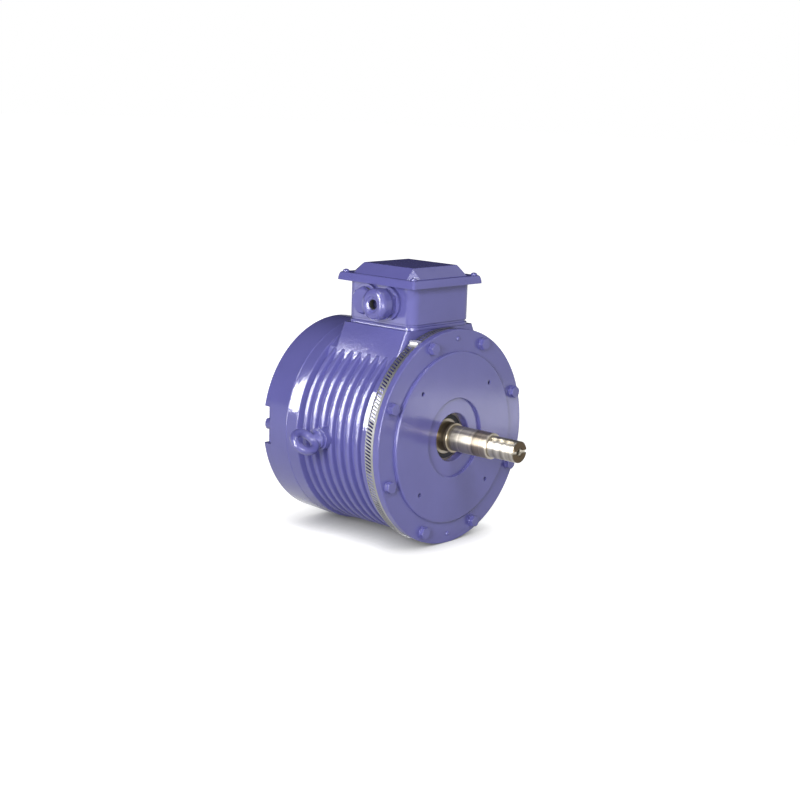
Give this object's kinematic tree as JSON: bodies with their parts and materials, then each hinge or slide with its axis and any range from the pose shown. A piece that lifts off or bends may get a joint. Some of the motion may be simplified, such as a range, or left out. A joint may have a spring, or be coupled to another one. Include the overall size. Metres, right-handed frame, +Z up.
{
  "type": "lift hoist motor",
  "caption": "Round flange-mounted electric lift hoist motor with cooling ribs, a stepped keyed shaft, a perforated vent band, a terminal box on top and a lifting eye at the side.",
  "frame": {"origin": "centre of the mounting flange's rim face, on the shaft axis, at the foot of the raised register disc", "axes": "+Z up towards the terminal box, -Y along the shaft away from the flange, +X to the right seen from the shaft end"},
  "size_m": [0.406, 0.4075, 0.4445],
  "materials": {
    "paint": "gloss",
    "band_steel": "dull",
    "dark_steel": "black oxide",
    "lamination_steel": "laminated",
    "copper_winding": "varnished",
    "lead_insulation": "matte",
    "bearing_steel": "ground",
    "shaft_steel": "turned",
    "rubber": "matte",
    "brass": "turned",
    "block_moulding": "moulded",
    "cast_aluminium": "as cast",
    "fan_plastic": "moulded"
  },
  "bodies": {
    "frame": {"housing": "paint", "front_flange": "paint", "flange_bolts": "paint", "jacking_screws": "paint", "vent_band": "band_steel", "vent_band_clamp": "band_steel", "rear_cover": "paint", "rear_cover_screws": "dark_steel", "rear_bearing_cap": "paint", "rear_cap_screws": "dark_steel", "stator_core": "lamination_steel", "stator_windings": "copper_winding", "winding_leads": "lead_insulation", "front_bearing_outer_ring": "bearing_steel", "front_bearing_seal": "rubber", "front_retaining_ring": "dark_steel", "rear_bearing_outer_ring": "bearing_steel", "rear_preload_spring": "bearing_steel", "terminal_box": "paint", "box_base_plate": "paint", "box_mounting_screws": "dark_steel", "terminal_block": "block_moulding", "terminal_studs": "brass", "terminal_nuts": "brass", "terminal_links": "brass", "earth_screw": "brass", "lid_gasket": "rubber", "lid": "paint", "lid_screws": "paint", "cable_gland_body": "paint", "cable_gland_cap": "paint", "cable_gland_seal": "rubber", "cable_gland_locknut": "bearing_steel", "blanking_plug": "paint", "plug_washer": "rubber", "eyebolt": "paint"},
    "rotor": {"shaft": "shaft_steel", "rotor_core": "lamination_steel", "rotor_end_rings": "cast_aluminium", "fan": "fan_plastic", "fan_circlip": "dark_steel", "front_bearing_inner_ring": "bearing_steel", "rear_bearing_inner_ring": "bearing_steel", "shaft_collar": "shaft_steel"},
    "front_cage": {"front_bearing_cage": "brass", "front_bearing_balls": "bearing_steel"},
    "rear_cage": {"rear_bearing_cage": "brass", "rear_bearing_balls": "bearing_steel"}
  },
  "joints": [
    {"name": "rotor_spin", "type": "hinge", "parent": "frame", "child": "rotor", "pos_m": [0, 0, 0], "axis": [0, 1, 0], "continuous": true},
    {"name": "front_cage_spin", "type": "hinge", "parent": "frame", "child": "front_cage", "pos_m": [0, 0, 0], "axis": [0, 1, 0], "continuous": true},
    {"name": "rear_cage_spin", "type": "hinge", "parent": "frame", "child": "rear_cage", "pos_m": [0, 0, 0], "axis": [0, 1, 0], "continuous": true}
  ],
  "couplings": [
    {"joint": "front_cage_spin", "follows": "rotor_spin", "ratio": 0.4023},
    {"joint": "rear_cage_spin", "follows": "rotor_spin", "ratio": 0.3972}
  ]
}
